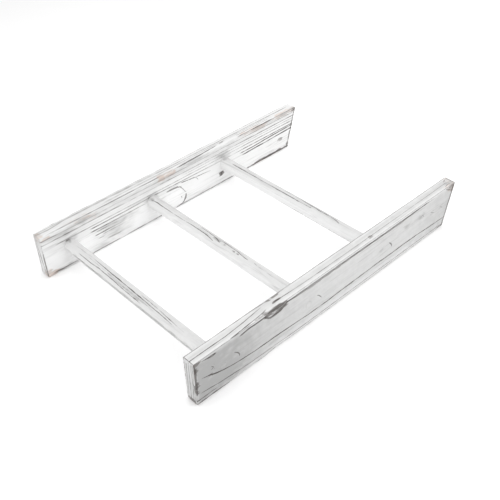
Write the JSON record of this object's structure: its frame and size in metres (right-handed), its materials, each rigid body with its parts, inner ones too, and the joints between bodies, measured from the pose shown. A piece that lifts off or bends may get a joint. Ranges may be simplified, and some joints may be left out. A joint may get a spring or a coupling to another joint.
{
  "type": "towel ladder",
  "caption": "Small leaning ladder of whitewashed wood for hanging towels: side rails with slanted feet, joined by round rungs.",
  "frame": {"origin": "middle of the length and of the width, on the plane of the rails' back edges, on which the ladder lies", "axes": "+X across the ladder towards its left rail, as seen by a person facing it; +Y along the rails from the top end to the feet; +Z from the back edges, which face the wall, to the front edges"},
  "size_m": [0.34, 0.5, 0.07],
  "materials": {
    "rail_wood": "whitewashed softwood board, matt, worn to brown wood at edges and knots",
    "rung_wood": "whitewashed round bar, matt, with dark grain lines",
    "plug_wood": "wood plug, painted over",
    "screw_steel": "zinc-plated steel"
  },
  "bodies": {
    "root": {"left_rail": "rail_wood", "right_rail": "rail_wood", "top_rung": "rung_wood", "middle_rung": "rung_wood", "bottom_rung": "rung_wood", "top_left_screw": "screw_steel", "middle_left_screw": "screw_steel", "bottom_left_screw": "screw_steel", "top_right_screw": "screw_steel", "middle_right_screw": "screw_steel", "bottom_right_screw": "screw_steel", "top_left_plug": "plug_wood", "middle_left_plug": "plug_wood", "bottom_left_plug": "plug_wood", "top_right_plug": "plug_wood", "middle_right_plug": "plug_wood", "bottom_right_plug": "plug_wood"}
  },
  "joints": []
}
